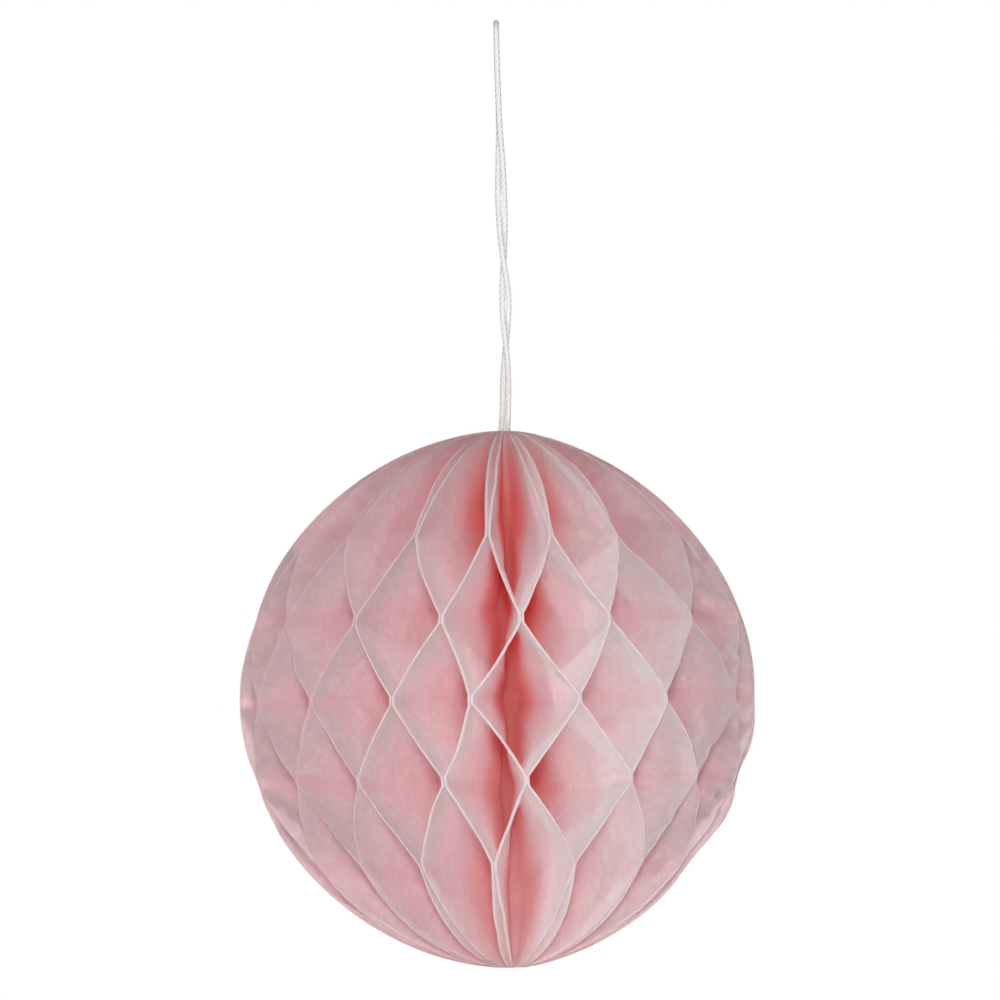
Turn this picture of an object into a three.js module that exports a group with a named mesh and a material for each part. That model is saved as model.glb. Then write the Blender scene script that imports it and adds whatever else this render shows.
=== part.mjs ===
// Honeycomb paper ball on a looped hanging cord. Millimetres, +Z up.
// The origin is the inside top of the cord's loop, where a hook carries the ball.
// Angles round the ball are in degrees from its front, which faces -Y, and grow towards +X.
import * as THREE from "three";

// Ball: half-round tissue leaves, fanned round an upright core and glued to each other in rows
const LEAF_COUNT = 34; // even, so that the alternate gluing closes on itself
const BALL_RADIUS = 50; // at the equator
const BALL_HALF_HEIGHT = 52; // from the equator to a pole
const OUTLINE_POWER = 0.57; // 0.5 is an ellipse, and more draws the shoulders in
const LOPSIDED = 2; // by which the ball bulges on its -X side and falls short on the other
const LOPSIDED_FROM = 8; // radius round the poles inside which it is less lopsided
const POLE_WIDTH = 0.8; // what is left of a leaf's width at its blunt tips
const PAPER = 0.1; // thickness of a leaf
const GLUE_GAP = 0.1; // between two glued faces
const GLUE_PITCH = 18.2; // from one glue row to the next, along the core
const GLUE_BAND = 1.2; // height of a glue row
const POLE_ZONE = 10; // a glue row keeps at least this far from a pole
const POLE_FOLD = 0.5; // fold at the poles, where glued leaves stay close: 1 together, 0 evenly spread
const RIM_DRAW = 0.16; // share by which the folds draw the glue rows together at the rim
const CORE_STRIP = 0.12; // share of a leaf's width, next to its straight edge, that is bent over
const CORE_SWIRL = 28; // turn of the straight edges round the core, which shuts the view through it

// Fan: the glue planes don't stand quite evenly. At is the turn from the front plane, Turn is by how much
// they are turned there.
const FRONT_TURN = -4.4; // of the glue plane nearest to the front
const LEAN_AT = 34;
const LEAN_SPREAD = 16;
const LEAN_TURN = -7.5; // at the top pole, and as much the other way at the bottom one
const FAR_LEAN_AT = -53;
const FAR_LEAN_SPREAD = 12;
const FAR_LEAN_TURN = -5; // likewise
const NUDGE_AT = 12;
const NUDGE_SPREAD = 9;
const NUDGE_TURN = -2.6;
const PUSH_AT = 68;
const PUSH_SPREAD = 14;
const PUSH_TURN = 6;
const TUG_AT = 0;
const TUG_SPREAD = 8;
const TUG_TURN = -3.3; // at the equator alone
const TUG_REACH = 10; // up and down from the equator

// Dents: two spots on one side where the rim is pressed in at a glue row
const DENT_AT = 90;
const DENT_SPREAD = 16;
const DENT_REACH = 5; // up and down from the glue row
const DENT_SHARES = [0.028, 0.06]; // of the rim's radius, at the first and second row below the equator

// Cord: one length of cotton string, doubled into a loop, with both ends in a knot inside the core
const CORD_DIAMETER = 1.05;
const STRAND_PITCH = 1.24; // between the middles of the two strands where they lie side by side
const CORD_CLEARANCE = 0.3; // from the cord or its knot to the leaves, and from the cord to its knot
const CORE_SPARE = 1.3; // by which the core's radius at the equator passes what the knot needs
const KNOT_RADIUS = 1.9;
const KNOT_HEIGHT = 3.6;
const HANG_DROP = 78.7; // from the inside top of the loop down to the ball's top

// Fineness of the solids
const FOLD_STEPS = 2; // strips between two glue rows
const POLE_STEPS = 5; // strips from the last glue row to the pole
const CORD_SIDES = 8;
const CORD_STEPS = 78;
const KNOT_SIDES = 16;

// Sizes that follow from those above
const CENTRE_Z = -HANG_DROP - BALL_HALF_HEIGHT;
const ROWS_EACH_SIDE = Math.floor((BALL_HALF_HEIGHT - POLE_ZONE) / GLUE_PITCH);
const CORE_END_RADIUS = (STRAND_PITCH + CORD_DIAMETER) / 2 + CORD_CLEARANCE; // at the poles
const CORE_RADIUS = KNOT_RADIUS + CORD_CLEARANCE + CORE_SPARE; // at the equator
const LEAF_SHARES = [0, CORE_STRIP, 1]; // where points lie across a leaf, from straight edge to rim
const GLUED_OFFSET = (PAPER + GLUE_GAP) / 2; // from a glue plane to the middle of a leaf on it
const TIP_HEIGHT = rimHeightOf(CORE_END_RADIUS + POLE_WIDTH);

const paper = new THREE.MeshStandardMaterial({ name: "tissue", color: 0xe9bcc0, roughness: 0.9 });
const cotton = new THREE.MeshStandardMaterial({ name: "cotton", color: 0xeeeeea, roughness: 0.85 });

// A smooth hump of height 1 at x = at
function bell(x, at, spread) {
  return Math.exp(-(((x - at) / spread) ** 2));
}

// Height at which the ball's outline has this radius
function rimHeightOf(radius) {
  const share = (radius / BALL_RADIUS) ** (1 / OUTLINE_POWER);
  return BALL_HALF_HEIGHT * Math.sqrt(1 - share);
}

// Height at the rim of the line that starts at height h on the core
function rimHeight(h) {
  return h * (1 - RIM_DRAW * (1 - (h / BALL_HALF_HEIGHT) ** 4));
}

// Radius of the rim at that line's end, lopsided and pressed in where there is a dent. turn is in degrees.
function rimRadius(h, turn) {
  const share = rimHeight(h) / BALL_HALF_HEIGHT;
  const dents = DENT_SHARES.map((depth, i) => depth * bell(h, -(i + 1) * GLUE_PITCH, DENT_REACH));
  const pressed = bell(turn, DENT_AT, DENT_SPREAD) * dents.reduce((sum, depth) => sum + depth, 0);
  const round = BALL_RADIUS * (1 - share ** 2) ** OUTLINE_POWER * (1 - pressed);
  const bulge = (LOPSIDED * round ** 2) / (round ** 2 + LOPSIDED_FROM ** 2);
  return round - bulge * Math.sin(THREE.MathUtils.degToRad(turn));
}

// Radius of a leaf's straight edge, which stands clear of the axis round the equator
function coreRadius(h) {
  const opened = (1 - (h / BALL_HALF_HEIGHT) ** 2) ** 3;
  return CORE_END_RADIUS + (CORE_RADIUS - CORE_END_RADIUS) * opened;
}

// Height at which the core has this radius, above the equator
function coreHeightOf(radius) {
  const opened = (radius - CORE_END_RADIUS) / (CORE_RADIUS - CORE_END_RADIUS);
  return BALL_HALF_HEIGHT * Math.sqrt(1 - Math.cbrt(opened));
}

// Turn from the front, in degrees, of the plane between leaf number plane - 1 and the next one
function planeTurn(plane, h) {
  const fanned = ((plane - 1) * 360) / LEAF_COUNT;
  const turn = fanned > 180 ? fanned - 360 : fanned;
  const near = LEAN_TURN * bell(turn, LEAN_AT, LEAN_SPREAD);
  const far = FAR_LEAN_TURN * bell(turn, FAR_LEAN_AT, FAR_LEAN_SPREAD);
  const lean = (near + far) * (h / BALL_HALF_HEIGHT);
  const nudge = NUDGE_TURN * bell(turn, NUDGE_AT, NUDGE_SPREAD);
  const push = PUSH_TURN * bell(turn, PUSH_AT, PUSH_SPREAD);
  const tug = TUG_TURN * bell(turn, TUG_AT, TUG_SPREAD) * bell(h, 0, TUG_REACH);
  return FRONT_TURN + fanned + lean + nudge + push + tug;
}

// The lines across a leaf, from its lower tip to its upper one. Each has its height on the core and its
// fold: 1 where the leaf is glued to one neighbour, -1 where it is glued to the other, else between them.
function leafLines() {
  const upper = [];
  for (let row = 0; row <= ROWS_EACH_SIDE; row++) {
    const middle = row * GLUE_PITCH;
    const fold = row % 2 ? -1 : 1;
    if (row) upper.push({ h: middle - GLUE_BAND / 2, fold });
    upper.push({ h: middle + GLUE_BAND / 2, fold });
    for (let step = 1; row < ROWS_EACH_SIDE && step < FOLD_STEPS; step++) {
      const share = step / FOLD_STEPS;
      const h = middle + GLUE_BAND / 2 + share * (GLUE_PITCH - GLUE_BAND);
      upper.push({ h, fold: fold * (1 - 2 * share) });
    }
  }
  const last = upper[upper.length - 1];
  for (let step = 1; step <= POLE_STEPS; step++) {
    const share = Math.sin((Math.PI / 2) * (step / POLE_STEPS));
    const fold = last.fold * (1 - (1 - POLE_FOLD) * share);
    upper.push({ h: last.h + share * (TIP_HEIGHT - last.h), fold });
  }
  const lower = upper.map((line) => ({ h: -line.h, fold: line.fold })).reverse();
  return [...lower, ...upper];
}

// The two points of leaf number leaf, one on each face, at a share of the way from core to rim along a line
function leafPoints(leaf, line, share) {
  const low = planeTurn(leaf, line.h);
  const high = planeTurn(leaf + 1, line.h);
  const middle = (low + high) / 2;
  const halfWedge = THREE.MathUtils.degToRad((high - low) / 2);
  const side = leaf % 2 ? -line.fold : line.fold;
  const core = coreRadius(line.h);
  const radius = core + share * (rimRadius(line.h, middle) - core);
  const height = CENTRE_Z + line.h + share * (rimHeight(line.h) - line.h);
  const swirl = share ? 0 : CORE_SWIRL;
  const turn = THREE.MathUtils.degToRad(middle + swirl) + side * (halfWedge - GLUED_OFFSET / radius);
  return [-1, 1].map((face) => {
    const at = turn + (face * PAPER) / 2 / radius;
    return [radius * Math.sin(at), -radius * Math.cos(at), height];
  });
}

// One leaf as a thin closed solid: two folded faces and the cut edge round them
function leafGeometry(leaf, lines) {
  const pointsOf = (line) => LEAF_SHARES.flatMap((share) => leafPoints(leaf, line, share).flat());
  const positions = lines.flatMap(pointsOf);
  const at = (row, column, face) => 2 * (row * LEAF_SHARES.length + column) + face;
  const index = [];
  const quad = (a, b, c, d) => index.push(a, b, c, a, c, d);
  const top = lines.length - 1;
  const rim = LEAF_SHARES.length - 1;
  for (let row = 0; row < top; row++) {
    for (let column = 0; column < rim; column++) {
      const corners = [[row, column], [row + 1, column], [row + 1, column + 1], [row, column + 1]];
      const [a, b, c, d] = corners.map((corner) => at(...corner, 1));
      const [e, f, g, i] = corners.map((corner) => at(...corner, 0));
      quad(a, b, c, d);
      index.push(e, g, f, e, i, g);
    }
    quad(at(row, rim, 0), at(row, rim, 1), at(row + 1, rim, 1), at(row + 1, rim, 0));
    quad(at(row, 0, 1), at(row, 0, 0), at(row + 1, 0, 0), at(row + 1, 0, 1));
  }
  for (let column = 0; column < rim; column++) {
    quad(at(top, column, 0), at(top, column + 1, 0), at(top, column + 1, 1), at(top, column, 1));
    quad(at(0, column, 1), at(0, column + 1, 1), at(0, column + 1, 0), at(0, column, 0));
  }
  const geometry = new THREE.BufferGeometry();
  geometry.setAttribute("position", new THREE.Float32BufferAttribute(positions, 3));
  geometry.setIndex(index);
  geometry.computeVertexNormals();
  return geometry;
}

function leafName(leaf) {
  return `leaf_${String(leaf + 1).padStart(2, "0")}`;
}

// The knot's middle is where the core is just wide enough for it, so that the leaves hang on it
const KNOT_Z = CENTRE_Z + coreHeightOf(KNOT_RADIUS + CORD_CLEARANCE);
const KNOT_TOP_Z = KNOT_Z + KNOT_HEIGHT / 2;
const STRAND_END_Z = KNOT_TOP_Z + CORD_CLEARANCE;

// The cord's way: up one strand from the knot, over the loop's top and down the other strand.
// The strands lie side by side in the core and wind round each other above the ball.
const CORD_ROUTE = [
  [0.62, 0, STRAND_END_Z],
  [0.62, 0, -90],
  [0.62, 0, -82],
  [0.66, 0, -75],
  [0.6, -0.4, -68.5],
  [0.2, -0.62, -62],
  [-0.22, -0.44, -58],
  [-0.36, 0, -54],
  [-0.26, 0.44, -50],
  [0.04, 0.62, -46],
  [0.4, 0.44, -40.5],
  [0.56, 0, -34],
  [0.44, -0.44, -27],
  [0.1, -0.72, -20],
  [0, -1.2, -12],
  [0, -2.1, -6],
  [0, -2.6, -2.07],
  [0, -2.25, -0.77],
  [0, -1.3, 0.18],
  [0, 0, 0.53],
  [0, 1.3, 0.18],
  [0, 2.25, -0.77],
  [0, 2.6, -2.07],
  [0, 2.1, -6],
  [0, 1.2, -12],
  [-0.1, 0.72, -20],
  [-0.44, 0.44, -27],
  [-0.68, 0, -34],
  [-0.48, -0.44, -40.5],
  [0.04, -0.62, -46],
  [0.62, -0.44, -50],
  [0.88, 0, -54],
  [0.66, 0.44, -58],
  [0.2, 0.62, -62],
  [-0.4, 0.4, -68.5],
  [-0.58, 0, -75],
  [-0.62, 0, -82],
  [-0.62, 0, -90],
  [-0.62, 0, STRAND_END_Z],
];

function cordGeometry() {
  const way = new THREE.CatmullRomCurve3(CORD_ROUTE.map((point) => new THREE.Vector3(...point)));
  const section = new THREE.Shape();
  section.absarc(0, 0, CORD_DIAMETER / 2, 0, 2 * Math.PI);
  const round = new THREE.Shape(section.getSpacedPoints(CORD_SIDES).slice(0, CORD_SIDES));
  return new THREE.ExtrudeGeometry(round, { steps: CORD_STEPS, extrudePath: way, bevelEnabled: false });
}

// The knot as one squat barrel with rounded ends
function knotGeometry() {
  const end = KNOT_RADIUS / 2; // radius of the flat at each end
  const shoulder = KNOT_HEIGHT / 4;
  const profile = [
    [0, -KNOT_HEIGHT / 2],
    [end, -KNOT_HEIGHT / 2],
    [KNOT_RADIUS, -shoulder],
    [KNOT_RADIUS, shoulder],
    [end, KNOT_HEIGHT / 2],
    [0, KNOT_HEIGHT / 2],
  ];
  const points = profile.map(([radius, height]) => new THREE.Vector2(radius, height));
  return new THREE.LatheGeometry(points, KNOT_SIDES).rotateX(Math.PI / 2);
}

function named(name, geometry, material) {
  const mesh = new THREE.Mesh(geometry, material);
  mesh.name = name;
  return mesh;
}

const ball = new THREE.Group();
const lines = leafLines();
for (let leaf = 0; leaf < LEAF_COUNT; leaf++) {
  ball.add(named(leafName(leaf), leafGeometry(leaf, lines), paper));
}

const hanger = new THREE.Group();
const knot = named("cord_knot", knotGeometry(), cotton);
knot.position.z = KNOT_Z;
hanger.add(named("hanging_cord", cordGeometry(), cotton), knot);

const garland = new THREE.Group();
garland.add(ball, hanger);

export default garland;
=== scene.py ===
# Honeycomb ball of pale pink tissue, hung on a loop of cotton string
import math
import bpy
import numpy as np
from mathutils import Matrix, Vector


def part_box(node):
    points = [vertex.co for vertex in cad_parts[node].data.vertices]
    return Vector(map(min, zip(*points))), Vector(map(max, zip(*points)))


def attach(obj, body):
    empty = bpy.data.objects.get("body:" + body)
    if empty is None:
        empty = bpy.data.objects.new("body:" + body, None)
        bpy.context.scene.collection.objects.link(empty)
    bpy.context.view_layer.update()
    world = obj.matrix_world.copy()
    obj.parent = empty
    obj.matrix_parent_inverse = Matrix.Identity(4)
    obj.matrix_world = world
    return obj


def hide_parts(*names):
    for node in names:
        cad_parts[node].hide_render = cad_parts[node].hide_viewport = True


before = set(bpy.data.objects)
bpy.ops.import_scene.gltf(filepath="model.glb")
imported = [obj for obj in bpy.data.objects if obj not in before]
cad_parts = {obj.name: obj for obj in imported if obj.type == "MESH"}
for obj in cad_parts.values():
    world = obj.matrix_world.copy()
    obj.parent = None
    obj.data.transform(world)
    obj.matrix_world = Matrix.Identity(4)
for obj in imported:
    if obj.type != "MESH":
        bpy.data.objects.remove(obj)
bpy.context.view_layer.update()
scene = bpy.context.scene
scene.view_settings.view_transform = "Standard"

# Viewpoint: a long lens, level with the middle of the ball, tipped up to take in the whole cord.
# It is rolled a little, so that the rows of cells rise to the right.
MM = 0.001
leaf_names = sorted(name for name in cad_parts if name.startswith("leaf_"))
leaf_boxes = np.array([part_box(name) for name in leaf_names])
ball_bottom = leaf_boxes[:, 0, 2].min()
ball_top = leaf_boxes[:, 1, 2].max()
ball_centre = Vector((0, 0, (ball_bottom + ball_top) / 2))

view_distance = 1600 * MM
view_width = 193.8 * MM
view_aim = ball_centre + Vector((-0.87, 0, 38.6)) * MM
view_roll = math.radians(-1)

lens = bpy.data.cameras.new("long_lens")
lens.sensor_width = 36
lens.lens = lens.sensor_width * view_distance / view_width
viewer = bpy.data.objects.new("long_lens", lens)
scene.collection.objects.link(viewer)
viewer_place = ball_centre + Vector((0, -view_distance, 0))
viewer_turn = (view_aim - viewer_place).to_track_quat("-Z", "Y").to_matrix().to_4x4()
viewer.matrix_world = Matrix.Translation(viewer_place) @ viewer_turn @ Matrix.Rotation(view_roll, 4, "Z")
scene.camera = viewer

# Hanging cord: one length of thin cotton string, three plies laid together, doubled into a loop.
# Both ends go down between the leaves at the ball's top, to a knot inside. The strands wind loosely
# round each other. The route is in millimetres.
cord_diameter = 1.05
ply_count = 3
ply_lay = 3.6  # length of one full turn of the plies
groove_share = 0.9  # of the string's radius, in the grooves between the plies
ply_relief = 0.18  # share of it by which a ply's back stands above them
ply_flatness = 0.7  # 1 is a plain wave, and less makes broad backs and narrow grooves
strand_aside = 0.62  # from the axis to each strand, inside the core
knot_gap = 0.3  # from the strands' ends to the knot
strand_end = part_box("cord_knot")[1][2] / MM + knot_gap
cord_route = [
    (strand_aside, 0, strand_end),
    (strand_aside, 0, -90),
    (strand_aside, 0, -82),
    (1, -0.25, -75),
    (1.15, -0.4, -68.5),
    (0.8, -0.62, -62),
    (0.38, -0.44, -58),
    (0.24, 0, -54),
    (0.34, 0.44, -50),
    (0.64, 0.62, -46),
    (0.95, 0.44, -40.5),
    (1, 0, -34),
    (0.8, -0.44, -27),
    (0.35, -0.72, -20),
    (0.12, -1.2, -12),
    (0, -2.1, -6),
    (0, -2.6, -2.07),
    (0, -2.25, -0.77),
    (0, -1.3, 0.18),
    (0, 0, 0.53),
    (0, 1.3, 0.18),
    (0, 2.25, -0.77),
    (0, 2.6, -2.07),
    (0, 2.1, -6),
    (0.12, 1.2, -12),
    (0.15, 0.72, -20),
    (-0.08, 0.44, -27),
    (-0.24, 0, -34),
    (0.07, -0.44, -40.5),
    (0.64, -0.62, -46),
    (1.22, -0.44, -50),
    (1.48, 0, -54),
    (1.26, 0.44, -58),
    (0.8, 0.62, -62),
    (0.15, 0.4, -68.5),
    (-0.1, 0.25, -75),
    (-strand_aside, 0, -82),
    (-strand_aside, 0, -90),
    (-strand_aside, 0, strand_end),
]
route_steps = 24  # from each point of the route to the next
ring_spacing = 0.18
cord_sides = 24


def smooth_way(route, steps):
    """Points along the smooth curve through a route, with so many steps from each point to the next."""
    points = np.array(route, float)
    before = 2 * points[:1] - points[1:2]
    after = 2 * points[-1:] - points[-2:-1]
    padded = np.concatenate((before, points, after))
    p0, p1, p2, p3 = (padded[i:i + len(points) - 1] for i in range(4))
    d0, d1, d2 = (np.sqrt(np.linalg.norm(b - a, axis=1))[:, None]
                  for a, b in ((p0, p1), (p1, p2), (p2, p3)))
    start = ((p1 - p0) / d0 - (p2 - p0) / (d0 + d1) + (p2 - p1) / d1) * d1
    finish = ((p2 - p1) / d1 - (p3 - p1) / (d1 + d2) + (p3 - p2) / d2) * d1
    t = (np.arange(steps) / steps)[None, :, None]
    p1, p2, start, finish = (each[:, None] for each in (p1, p2, start, finish))
    squared = 3 * (p2 - p1) - 2 * start - finish
    cubed = 2 * (p1 - p2) + start + finish
    way = p1 + start * t + squared * t ** 2 + cubed * t ** 3
    return np.concatenate((way.reshape(-1, 3), points[-1:]))


def evenly_spaced(way, spacing):
    """The same line with its points this far apart."""
    run = np.concatenate(([0], np.cumsum(np.linalg.norm(np.diff(way, axis=0), axis=1))))
    stops = np.linspace(0, run[-1], round(run[-1] / spacing) + 1)
    return np.stack([np.interp(stops, run, way[:, axis]) for axis in range(3)], axis=1), stops


def cross_frames(way):
    """Two directions across a line at each of its points, which turn as little as they can along it."""
    along = np.gradient(way, axis=0)
    along /= np.linalg.norm(along, axis=1)[:, None]
    across = np.zeros_like(way)
    off_line = (0.3, 0.9, 0.1)  # any direction but the line's own
    across[0] = np.cross(along[0], off_line)
    for i in range(1, len(way)):
        across[i] = across[i - 1] - along[i] * (across[i - 1] @ along[i])
    across /= np.linalg.norm(across, axis=1)[:, None]
    return across, np.cross(along, across)


def mesh_piece(name, points, faces, material, smooth=True):
    """A mesh object from points in millimetres."""
    mesh = bpy.data.meshes.new(name)
    mesh.from_pydata(np.asarray(points) * MM, [], faces)
    if smooth:
        mesh.shade_smooth()
    else:
        mesh.shade_flat()
    mesh.materials.append(material)
    piece = bpy.data.objects.new(name, mesh)
    scene.collection.objects.link(piece)
    return piece


def tube_faces(rings, sides, closed=False):
    """Quads of a tube of rings, with its two ends capped unless it closes on itself."""
    faces = []
    for ring in range(rings if closed else rings - 1):
        near, far = ring * sides, (ring + 1) % rings * sides
        for i in range(sides):
            following = (i + 1) % sides
            faces.append((near + i, near + following, far + following, far + i))
    if not closed:
        faces += [tuple(range(sides))[::-1], tuple(range((rings - 1) * sides, rings * sides))]
    return faces


def linear(code):
    """Linear red, green, blue and full alpha of an sRGB hex colour."""
    parts = [int(code[i:i + 2], 16) / 255 for i in (1, 3, 5)]
    return [part / 12.92 if part <= 0.04045 else ((part + 0.055) / 1.055) ** 2.4 for part in parts] + [1]


def add_node(tree, kind, settings=None, **links):
    """A node with its attributes and socket values from settings, and links from other sockets. A link
    is named for the socket it goes to, with _ for a space, or s and the socket's number."""
    node = tree.nodes.new(kind)
    for key, value in (settings or {}).items():
        if isinstance(key, str) and hasattr(node, key):
            setattr(node, key, value)
        else:
            node.inputs[key].default_value = value
    for key, source in links.items():
        socket = node.inputs[int(key[1:])] if key[1:].isdigit() else node.inputs[key.replace("_", " ")]
        tree.links.new(source, socket)
    return node


def new_material(name):
    """An empty node material, and its node tree."""
    material = bpy.data.materials.new(name)
    material.use_nodes = True
    material.node_tree.nodes.clear()
    return material, material.node_tree


# Cotton string is matt and off-white, with a fuzz of fine fibres, drawn coarser than it is so that it
# shows. The grey in the grooves between its plies is painted shade.
cotton, tree = new_material("cotton_string")
place = add_node(tree, "ShaderNodeTexCoord")
fibre_size = 0.12 * MM
fibres = add_node(tree, "ShaderNodeTexNoise", {"Scale": 1 / fibre_size, "Detail": 3},
                  Vector=place.outputs["Object"])
groove = add_node(tree, "ShaderNodeAttribute", {"attribute_name": "groove"})
# Painted shade: the grooves between the plies are painted grey
shade = add_node(tree, "ShaderNodeMix",
                 {"data_type": "RGBA", 6: linear("#efeeec"), 7: linear("#d6d4d1")},
                 Factor=groove.outputs["Fac"])
bump = add_node(tree, "ShaderNodeBump", {"Strength": 0.5, "Distance": 0.05 * MM},
                Height=fibres.outputs["Fac"])
surface = add_node(tree, "ShaderNodeBsdfPrincipled", {"Roughness": 0.9, "Specular IOR Level": 0.2},
                   Base_Color=shade.outputs[2], Normal=bump.outputs["Normal"])
add_node(tree, "ShaderNodeOutputMaterial", Surface=surface.outputs["BSDF"])

cord_way, cord_run = evenly_spaced(smooth_way(cord_route, route_steps), ring_spacing)
across, upward = cross_frames(cord_way)
round_turn = np.arange(cord_sides) * 2 * math.pi / cord_sides
ply_turn = round_turn[None] - cord_run[:, None] * 2 * math.pi / ply_lay
ply_swell = np.abs(np.cos(ply_turn * ply_count / 2)) ** ply_flatness  # 1 on a back, 0 in a groove
string_radius = cord_diameter / 2 * (groove_share + ply_relief * ply_swell)
cord_points = (cord_way[:, None]
               + (string_radius * np.cos(round_turn))[:, :, None] * across[:, None]
               + (string_radius * np.sin(round_turn))[:, :, None] * upward[:, None])
cord = mesh_piece("hanging_cord_string", cord_points.reshape(-1, 3),
                  tube_faces(len(cord_way), cord_sides), cotton)
# Share of painted shade in the grooves, for each point
groove_shading = cord.data.attributes.new("groove", "FLOAT", "POINT")
groove_shading.data.foreach_set("value", (1 - ply_swell).ravel() ** 2)
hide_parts("hanging_cord")
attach(cord, "root")

# Cord knot: the two ends of the same cotton string, tied together and pulled tight inside the core.
# The leaves hang on it. It is drawn as one closed loop of string with three crossings.
knot_low, knot_high = (np.array(corner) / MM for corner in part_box("cord_knot"))
knot_middle = (knot_low + knot_high) / 2
knot_strand = 0.5  # radius of the string, pulled tight
knot_reach = (knot_high[0] - knot_low[0]) / 2 - knot_strand
knot_rise = (knot_high[2] - knot_low[2]) / 2 - knot_strand
knot_steps = 90
knot_sides = 12
turn = np.arange(knot_steps) * 2 * math.pi / knot_steps
knot_way = np.stack([(np.sin(turn) + 2 * np.sin(2 * turn)) * knot_reach / 3,
                     (np.cos(turn) - 2 * np.cos(2 * turn)) * knot_reach / 3,
                     np.sin(3 * turn) * knot_rise], axis=1) + knot_middle
across, upward = cross_frames(np.concatenate((knot_way[-2:], knot_way, knot_way[:2])))
round_turn = np.arange(knot_sides) * 2 * math.pi / knot_sides
knot_points = (knot_way[:, None]
               + knot_strand * np.cos(round_turn)[None, :, None] * across[2:-2, None]
               + knot_strand * np.sin(round_turn)[None, :, None] * upward[2:-2, None])
knot = mesh_piece("cord_knot_string", knot_points.reshape(-1, 3),
                  tube_faces(knot_steps, knot_sides, True), cotton)
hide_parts("cord_knot")
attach(knot, "root")

# Leaves: half-round sheets of tissue, die-cut, glued to one neighbour in the rows at the equator and
# second from it, and to the other neighbour in the rows between, then fanned into a ball. The folds
# draw the rim in, so the glue rows draw together from the core to the rim.
ball_radius = 50  # at the equator
ball_half_height = 52
outline_power = 0.57  # 0.5 is an ellipse, and more draws the shoulders in
lopsided = 2  # by which the ball bulges on its left and falls short on its right
lopsided_from = 8  # radius round the poles inside which it is less lopsided
dent_turn = 90  # turn from the front of two dents in the rim
dent_spread = 16
dent_reach = 5  # up and down from a glue row
dent_shares = (0.028, 0.06)  # of the rim's radius, at the first and second glue row below the equator
glue_pitch = 18.2  # from one glue row to the next, along the core
glue_band = 2  # height of a glue row
glue_room = 0.06  # half of what two glued leaves keep between them
rows_each_side = 2
rim_draw = 0.16  # share by which the glue rows draw together at the rim
pole_width = 0.8  # of a leaf at its blunt tips
pole_fold = 0.5  # fold at the poles, where glued leaves stay close: 1 together, 0 evenly spread
core_end_radius = 1.445  # at the poles
core_radius = 2.3  # at the equator
core_strip = 0.12  # share of a leaf's width, next to its straight edge, that is bent over
core_swirl = -80  # turn of the straight edges round the core
front_turn = -4.4  # of the glue plane nearest to the front
front_tug = -3.3  # further turn of that plane at the equator
front_tug_spread = 8
leans = ((34, 16, -7.5), (-53, 12, -5))  # turn from the front plane, spread, and lean at the top pole
shifts = ((68, 14, 6), (12, 9, -2.6))  # turn from the front plane, spread, and shift from pole to pole
bead_front = 0.3  # half the width of the soft, slightly frayed cut edge in front, seen from outside
bead_rest = 0.12  # the same elsewhere, where the edge has been pressed flat
bead_front_spread = 38
bead_depth = 0.05  # half of the edge's depth
bead_sides = 8


def bell(x, at, spread):
    """A smooth hump of height 1 at x = at."""
    return np.exp(-(((x - at) / spread) ** 2))


def ramp(x, start, end):
    """0 up to x = start, and evenly up to 1 at x = end, which may be the smaller of the two."""
    return np.clip((x - start) / (end - start), 0, 1)


def rim_height(h):
    """Height at the rim of the line that starts at height h on the core."""
    return h * (1 - rim_draw * (1 - (h / ball_half_height) ** 4))


def rim_radius(h, turn):
    """Radius of the rim on the line that starts at height h on the core: lopsided, with two dents."""
    share = rim_height(h) / ball_half_height
    dents = sum(depth * bell(h, -row * glue_pitch, dent_reach)
                for row, depth in enumerate(dent_shares, 1))
    pressed = bell(turn, dent_turn, dent_spread) * dents
    even = ball_radius * (1 - share ** 2) ** outline_power * (1 - pressed)
    return even - lopsided * even ** 2 / (even ** 2 + lopsided_from ** 2) * np.sin(np.radians(turn))


def core_edge(h):
    """Radius of a leaf's straight edge at height h."""
    return core_end_radius + (core_radius - core_end_radius) * (1 - (h / ball_half_height) ** 2)


def plane_turn(plane, h):
    """Turn from the front, in degrees, of the glue plane between two leaves, at height h on the core."""
    fanned = (plane - 1) * 360 / len(leaf_names)
    turn = fanned - 360 if fanned > 180 else fanned
    lean = sum(most * bell(turn, at, spread) for at, spread, most in leans) * (h / ball_half_height)
    shift = sum(most * bell(turn, at, spread) for at, spread, most in shifts)
    tug = front_tug * bell(turn, 0, front_tug_spread) * np.clip(1 - np.abs(h) / glue_pitch, 0, 1)
    return front_turn + fanned + lean + shift + tug


fold_steps = 22  # lines from one glue row to the next
fold_edge = 0.015  # share of that way to the line that keeps a glue row's fold sharp
pole_steps = 26  # lines from the last glue row to the pole


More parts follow.
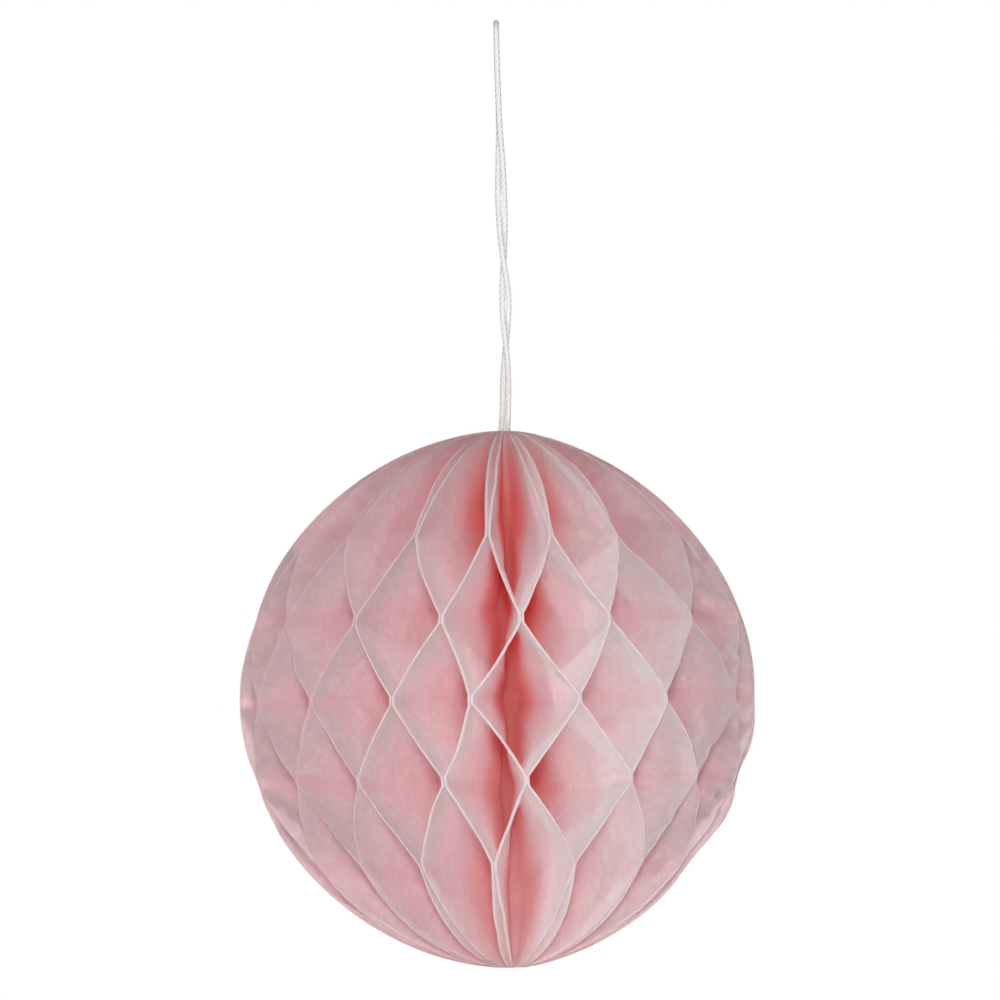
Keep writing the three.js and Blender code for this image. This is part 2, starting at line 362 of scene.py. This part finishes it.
def leaf_lines():
    """Heights on the core of the lines across a leaf, and the leaf's fold on each, from -1 to 1."""
    heights, folds = [0], [1]
    for row in range(rows_each_side + 1):
        fold = -1 if row % 2 else 1
        middle = row * glue_pitch
        if row:
            start = heights[-1]
            even_steps = np.arange(1, fold_steps) / fold_steps
            steps = np.concatenate(([fold_edge], even_steps, [1 - fold_edge, 1]))
            heights += list(start + steps * (middle - glue_band / 2 - start))
            folds += list(-fold + steps * 2 * fold)
        heights += [middle + glue_band / 2] if not row else [middle, middle + glue_band / 2]
        folds += [fold] if not row else [fold, fold]
    tip_share = ((core_end_radius + pole_width) / ball_radius) ** (1 / outline_power)
    tip = ball_half_height * math.sqrt(1 - tip_share)
    steps = np.sin(np.arange(1, pole_steps + 1) / pole_steps * math.pi / 2)
    start, fold = heights[-1], folds[-1]
    heights += list(start + steps * (tip - start))
    folds += list(fold * (1 - (1 - pole_fold) * steps))
    heights, folds = np.array(heights), np.array(folds)
    return np.concatenate((-heights[:0:-1], heights)), np.concatenate((folds[:0:-1], folds))


# The sheet can't twist from row to row, so it breaks into flat facets along lines from each glue point
# on the rim to the next rows at the core.
facet_share = 0.8  # how sharply it breaks: 0 is an even twist, 1 flat facets
line_heights, line_folds = leaf_lines()
strip_columns = 6
wall_columns = 36
wall_end = 0.975  # share of a leaf's width, from which on the columns stand closer
shares = np.concatenate((core_strip * np.arange(strip_columns) / strip_columns,
                         np.linspace(core_strip, wall_end, wall_columns), [0.988, 1]))
inward = np.maximum(shares, 0.05)  # the same, kept from nothing for the facets

# Creases, with their half width, half length and radius on the leaf, each from the least to the most
crease_count = 84
long_creases = 14
long_sizes = ((3, 7), (7, 15), (22, 50))
long_height = 0.85
short_sizes = ((1.2, 3), (3, 8), (37, 51))
short_height = 1.8
crease_reach = 48  # up and down from the equator
front_crease = 0.4  # share of their height that creases have in front
pressed_sides = ((75, 28, 1), (-80, 28, 0.5))  # turn from the front, spread, and how hard it was pressed


def creases(leaf, h, radius, turn):
    """How far a leaf stands out sideways along its creases, where no glue row holds it flat. Each leaf
    has some long faint ones. Those at the sides, which have been pressed, have many short ones too,
    most of all on the right."""
    dice = np.random.default_rng(leaf)
    pressed = sum(hard * bell(turn, at, spread) for at, spread, hard in pressed_sides)
    stand = np.zeros_like(radius)
    for number in range(crease_count):
        long = number < long_creases
        sizes = long_sizes if long else short_sizes
        half_width, half_length, at_radius = (dice.uniform(*each) for each in sizes)
        most = long_height if long else short_height * pressed
        at_h, way = dice.uniform(-crease_reach, crease_reach), dice.uniform(0, math.pi)
        along = (h - at_h) * math.cos(way) + (radius - at_radius) * math.sin(way)
        aside = (radius - at_radius) * math.cos(way) - (h - at_h) * math.sin(way)
        ridge = np.clip(1 - np.abs(aside) / half_width, 0, 1)
        stand += dice.choice((-1, 1)) * dice.uniform(0.3, 1) * most * ridge * bell(along, 0, half_length)
    rows = np.minimum(np.abs(h) / glue_pitch, rows_each_side + 0.5)
    free = np.abs(np.sin(rows * math.pi)) ** 0.7 * ramp(radius, 8, 20)
    return stand * free * (front_crease + (1 - front_crease) * ramp(np.abs(turn), 20, 50))


painted_shade_start = 23  # radius at which the painted shade, a deeper red, begins on the way in
painted_shade_full = 10  # radius at which it is full
least_painted_shade = 0.1  # share of it that is left at the bottom
front_glue = 0.15  # share of the glue that shows in front
painted_light_turn = 20  # from the front, where the leaves are painted palest, as painted light
painted_light_spread = 52
top_painted_shade = 0.3  # share by which the painted light is less towards the top, which is painted pinker as painted shade
rim_highlight_turn = 5  # from the front, where the painted highlight on the cut edges is palest
rim_highlight_spread = 42
side_rim_highlight = 0.2  # how strong the painted highlight on them is at the sides, where 1 is as strong as there
rim_highlight_width = 2  # width of the painted highlight, a paler band along a cut edge


def leaf_points(leaf):
    """One leaf as a grid of points, whose last columns roll up its rim, and for each point the shares
    of painted highlight near the rim, of glue near a glue row, of painted shade further in and of
    painted light in front and behind."""
    h = line_heights[:, None]
    low, high = plane_turn(leaf, h), plane_turn(leaf + 1, h)
    middle, half_wedge = (low + high) / 2, np.radians(high - low) / 2
    fold = line_folds[:, None]
    lower = np.maximum(-inward, inward + fold - 1)
    upper = np.minimum(inward, fold + 1 - inward)
    broken = (lower + upper) / (2 * inward)
    between_rows = np.clip(rows_each_side * glue_pitch - np.abs(h), 0, 1)
    side = (fold + facet_share * between_rows * (broken - fold)) * (-1 if leaf % 2 else 1)
    from_front = (middle + 180) % 360 - 180
    bead_half = bead_rest + (bead_front - bead_rest) * bell(from_front, 0, bead_front_spread)
    core, rim = core_edge(h), rim_radius(h, middle) - 2 * bead_depth
    radius = core + shares * (rim - core)
    height = h + shares * (rim_height(h) - h) + ball_centre.z / MM
    swirl = core_swirl * np.clip(1 - shares / core_strip, 0, 1) ** 2
    room = glue_room + (bead_half - glue_room) * np.clip((shares - 0.9) / 0.1, 0, 1)
    turn = np.radians(middle + swirl) + side * (half_wedge - np.minimum(room / radius, half_wedge))
    turn = turn + creases(leaf, h, radius, from_front) / radius

    edge = np.stack([np.gradient(height[:, -1]), -np.gradient(radius[:, -1])], axis=1)
    edge /= np.linalg.norm(edge, axis=1)[:, None]
    roll = math.pi + np.arange(1, bead_sides + 1) * 2 * math.pi / bead_sides
    outward = bead_depth * (1 + np.cos(roll))
    aside = bead_half * np.sin(roll)[None]
    radius = np.concatenate((radius, radius[:, -1:] + outward * edge[:, :1]), axis=1)
    height = np.concatenate((height, height[:, -1:] + outward * edge[:, 1:]), axis=1)
    turn = np.concatenate((turn, turn[:, -1:] + aside / np.maximum(radius[:, -bead_sides:], 1)), axis=1)
    points = np.stack([radius * np.sin(turn), -radius * np.cos(turn), height], axis=2)

    nearest_row = np.clip(np.round(h / glue_pitch), -rows_each_side, rows_each_side)
    from_row = np.abs(h - glue_pitch * nearest_row)
    to_side = ramp(np.abs(from_front), 25, 65)
    glue = ramp(from_row, 2, 1) * (front_glue + (1 - front_glue) * to_side)
    from_back = 180 - np.abs(from_front)
    # Painted light: front and back are painted paler, less so towards the top, and the sides stay pinker
    # as painted shade
    painted_light = np.maximum(bell(from_front, painted_light_turn, painted_light_spread), bell(from_back, 0, painted_light_spread))
    painted_light = painted_light * (1 - top_painted_shade * ramp(h, 8, 38))
    # Painted highlight: a paler band along the cut edge, strongest in front and behind
    rim_highlight = np.clip(1 - (radius[:, -bead_sides - 1:-bead_sides] - radius) / rim_highlight_width, 0, 1)
    pale = np.maximum(bell(from_front, rim_highlight_turn, rim_highlight_spread), bell(from_back, 0, rim_highlight_spread))
    rim_highlight = rim_highlight * (side_rim_highlight + (1 - side_rim_highlight) * pale)
    # Painted shade: a deeper red further into the cells, least at the bottom and none at the top tip
    deep = ramp(radius, painted_shade_start, painted_shade_full)
    above_bottom = np.maximum(ramp(h, -58, 12), least_painted_shade)
    below_top = ramp(h, 51, 39)
    painted_deep_shade = deep ** 2 * (3 - 2 * deep) * above_bottom * below_top
    marks = {"rim": rim_highlight, "glue": glue, "painted_deep_shade": painted_deep_shade, "painted_light": painted_light}
    return points, {key: np.broadcast_to(values, radius.shape) for key, values in marks.items()}


# Tissue is thin, matt and a little fluffy, with its fibres upright, drawn coarser than they are so that
# they show. It lets about 70% of the light through and gives the rest back paler, so cells glow redder
# the further in they go. Front and back are painted paler as painted light, and the sides and the top
# pinker as painted shade. The last millimetres to the cut edges are painted paler still, a painted
# highlight that is strongest in front and behind. The inside is painted a deeper red as painted shade,
# more towards the top, and at the sides the glue shows as darker patches.
tissue, tree = new_material("pink_tissue")
place = add_node(tree, "ShaderNodeTexCoord")
cloud_size = 1.7 * MM  # of thin and thick spots in the sheet
fibre_size = 0.4 * MM
fibre_length = 3 * MM
clouds = add_node(tree, "ShaderNodeTexNoise", {"Scale": 1 / cloud_size, "Detail": 3},
                  Vector=place.outputs["Object"])
lie = add_node(tree, "ShaderNodeMapping", {"Scale": (1, 1, fibre_size / fibre_length)},
               Vector=place.outputs["Object"])
fibres = add_node(tree, "ShaderNodeTexNoise", {"Scale": 1 / fibre_size, "Detail": 2},
                  Vector=lie.outputs["Vector"])
uneven = add_node(tree, "ShaderNodeMath", {"operation": "MULTIPLY"}, s0=clouds.outputs["Fac"],
                  s1=fibres.outputs["Fac"])
spread = add_node(tree, "ShaderNodeMapRange", {"From Min": 0.15, "From Max": 0.38},
                  Value=uneven.outputs[0])
# The rim share is the painted highlight along the cut edges
rim = add_node(tree, "ShaderNodeAttribute", {"attribute_name": "rim"})
glue = add_node(tree, "ShaderNodeAttribute", {"attribute_name": "glue"})
painted_deep_shade = add_node(tree, "ShaderNodeAttribute", {"attribute_name": "painted_deep_shade"})
patchy = add_node(tree, "ShaderNodeMath", {"operation": "MULTIPLY"}, s0=glue.outputs["Fac"],
                  s1=clouds.outputs["Fac"])
edge = add_node(tree, "ShaderNodeMath", {"operation": "MULTIPLY", 1: 0.9}, s0=rim.outputs["Fac"])
painted_light = add_node(tree, "ShaderNodeAttribute", {"attribute_name": "painted_light"})
# Painted light and shade: a paler copy of the sheet in front and behind, a pinker one at the sides and
# top
shaded_sheet_colour = add_node(tree, "ShaderNodeMix",
                 {"data_type": "RGBA", 6: linear("#fadee2"), 7: linear("#ffedef")},
                 Factor=spread.outputs["Result"])
lit_sheet_colour = add_node(tree, "ShaderNodeMix",
               {"data_type": "RGBA", 6: linear("#fceff1"), 7: linear("#fffcfc")},
               Factor=spread.outputs["Result"])
sheet = add_node(tree, "ShaderNodeMix", {"data_type": "RGBA"}, Factor=painted_light.outputs["Fac"],
                 s6=shaded_sheet_colour.outputs[2], s7=lit_sheet_colour.outputs[2])
glued = add_node(tree, "ShaderNodeMix", {"data_type": "RGBA", 7: linear("#f4d9de")},
                 Factor=patchy.outputs[0], s6=sheet.outputs[2])
# Painted shade: the inside is painted a deeper red
deep_shaded = add_node(tree, "ShaderNodeMix", {"data_type": "RGBA", 7: linear("#fd9a98")},
                Factor=painted_deep_shade.outputs["Fac"], s6=glued.outputs[2])
# Painted highlight: the cut edges are painted paler
rim_highlighted = add_node(tree, "ShaderNodeMix", {"data_type": "RGBA", 7: linear("#fefafa")},
                 Factor=edge.outputs[0], s6=deep_shaded.outputs[2])
bump = add_node(tree, "ShaderNodeBump", {"Strength": 0.8, "Distance": 0.08 * MM},
                Height=fibres.outputs["Fac"])
white = add_node(tree, "ShaderNodeMix", {"data_type": "RGBA", "Factor": 0.45, 7: linear("#fefdfd")},
                 s6=rim_highlighted.outputs[2])
face = add_node(tree, "ShaderNodeBsdfDiffuse", {"Roughness": 0.6}, Color=white.outputs[2],
                Normal=bump.outputs["Normal"])
through = add_node(tree, "ShaderNodeBsdfTranslucent", Color=rim_highlighted.outputs[2],
                   Normal=bump.outputs["Normal"])
let_through = add_node(tree, "ShaderNodeMapRange", {"To Min": 0.73, "To Max": 0.67},
                       Value=spread.outputs["Result"])
mixed = add_node(tree, "ShaderNodeMixShader", Fac=let_through.outputs["Result"], s1=face.outputs["BSDF"],
                 s2=through.outputs["BSDF"])
add_node(tree, "ShaderNodeOutputMaterial", Surface=mixed.outputs["Shader"])

rows, columns = len(line_heights), len(shares) + bead_sides
at = np.arange(rows * columns).reshape(rows, columns)
sheet_faces = np.stack([at[:-1, :-1], at[1:, :-1], at[1:, 1:], at[:-1, 1:]], axis=-1)
sheet_faces = sheet_faces.reshape(-1, 4).tolist()
for number, name in enumerate(leaf_names):
    points, marks = leaf_points(number)
    leaf = mesh_piece(f"{name}_tissue", points.reshape(-1, 3), sheet_faces, tissue)
    for key, values in marks.items():
        mark = leaf.data.attributes.new(key, "FLOAT", "POINT")
        mark.data.foreach_set("value", values.ravel())
    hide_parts(name)
    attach(leaf, "root")

# Light goes through and bounces between the leaves many times before it is lost
scene.cycles.max_bounces = 40
scene.cycles.diffuse_bounces = 32
scene.cycles.transmission_bounces = 32

# Floor: a plain pale disc well below the hanging ball, painted matt. Where it is seen it also glows, to
# be paler than the lamps, which are aimed at the ball, leave it.
floor_drop = 1900 * MM
floor_radius = 2.5
floor_sides = 96
glow_share = 0.7


def seen_directly(tree):
    """A socket that is 1 on rays from the camera, off a mirror or through glass, and 0 on the others."""
    path = add_node(tree, "ShaderNodeLightPath")
    seen = add_node(tree, "ShaderNodeMath", {"operation": "MAXIMUM"}, s0=path.outputs["Is Camera Ray"],
                    s1=path.outputs["Is Glossy Ray"])
    glass = add_node(tree, "ShaderNodeMath", {"operation": "SUBTRACT", "use_clamp": True},
                     s0=path.outputs["Is Transmission Ray"], s1=path.outputs["Is Diffuse Ray"])
    either = add_node(tree, "ShaderNodeMath", {"operation": "MAXIMUM"}, s0=seen.outputs[0],
                      s1=glass.outputs[0])
    return either.outputs[0]


floor_paint, tree = new_material("pale_floor")
surface = add_node(tree, "ShaderNodeBsdfDiffuse", {"Color": linear("#eeeeee")})
glow = add_node(tree, "ShaderNodeEmission", {"Color": linear("#eeeeee")})
glowing = add_node(tree, "ShaderNodeMath", {"operation": "MULTIPLY", 1: glow_share},
                   s0=seen_directly(tree))
pale = add_node(tree, "ShaderNodeMixShader", Fac=glowing.outputs[0], s1=surface.outputs["BSDF"],
                s2=glow.outputs["Emission"])
add_node(tree, "ShaderNodeOutputMaterial", Surface=pale.outputs["Shader"])
turn = np.arange(floor_sides) * 2 * math.pi / floor_sides
floor_points = np.stack([floor_radius * np.cos(turn), floor_radius * np.sin(turn),
                         np.full(floor_sides, ball_bottom - floor_drop)], axis=1) / MM
floor = mesh_piece("floor", floor_points, [tuple(range(floor_sides))], floor_paint, smooth=False)

# Light: small square lamps all round the ball, the strongest in front, others below, behind and on the
# right, weak ones on the left, and a little pale light from everywhere. Seen past the object the
# surroundings are white.
scene.world = bpy.data.worlds.new("pale_room")
scene.world.use_nodes = True
tree = scene.world.node_tree
tree.nodes.clear()
room = add_node(tree, "ShaderNodeBackground", {"Color": (1, 1, 1, 1), "Strength": 0.05})
white = add_node(tree, "ShaderNodeBackground", {"Color": (1, 1, 1, 1), "Strength": 1})
both = add_node(tree, "ShaderNodeMixShader", Fac=seen_directly(tree), s1=room.outputs[0],
                s2=white.outputs[0])
add_node(tree, "ShaderNodeOutputWorld", Surface=both.outputs[0])

lamp_distance = 1.3
lamp_size = 0.09
for name, turn, rise, power in (  # turn from the front and rise in degrees, power in watts
    ("front_lamp", 0, 5, 7.4),
    ("low_front_lamp", 0, -20, 3.2),
    ("left_front_lamp", -35, -3, 2.9),
    ("right_lamp", 65, -8, 3.4),
    ("left_lamp", -68, -10, 0.4),
    ("low_left_lamp", -40, -43, 2),
    ("low_right_lamp", 45, -45, 1.1),
    ("top_left_lamp", -35, 40, 0.6),
    ("top_lamp", 0, 70, 2.4),
    ("back_lamp", 180, 5, 4.5),
    ("low_back_lamp", 180, -35, 4.2),
    ("back_left_lamp", -165, -5, 0.5),
    ("back_right_lamp", 155, -5, 1.7),
):
    lamp = bpy.data.lights.new(name, "AREA")
    lamp.size = lamp_size
    lamp.energy = power
    holder = bpy.data.objects.new(name, lamp)
    scene.collection.objects.link(holder)
    turn, rise = math.radians(turn), math.radians(rise)
    way = Vector((math.sin(turn) * math.cos(rise), -math.cos(turn) * math.cos(rise), math.sin(rise)))
    holder.location = ball_centre + way * lamp_distance
    holder.rotation_euler = way.to_track_quat("Z", "Y").to_euler()
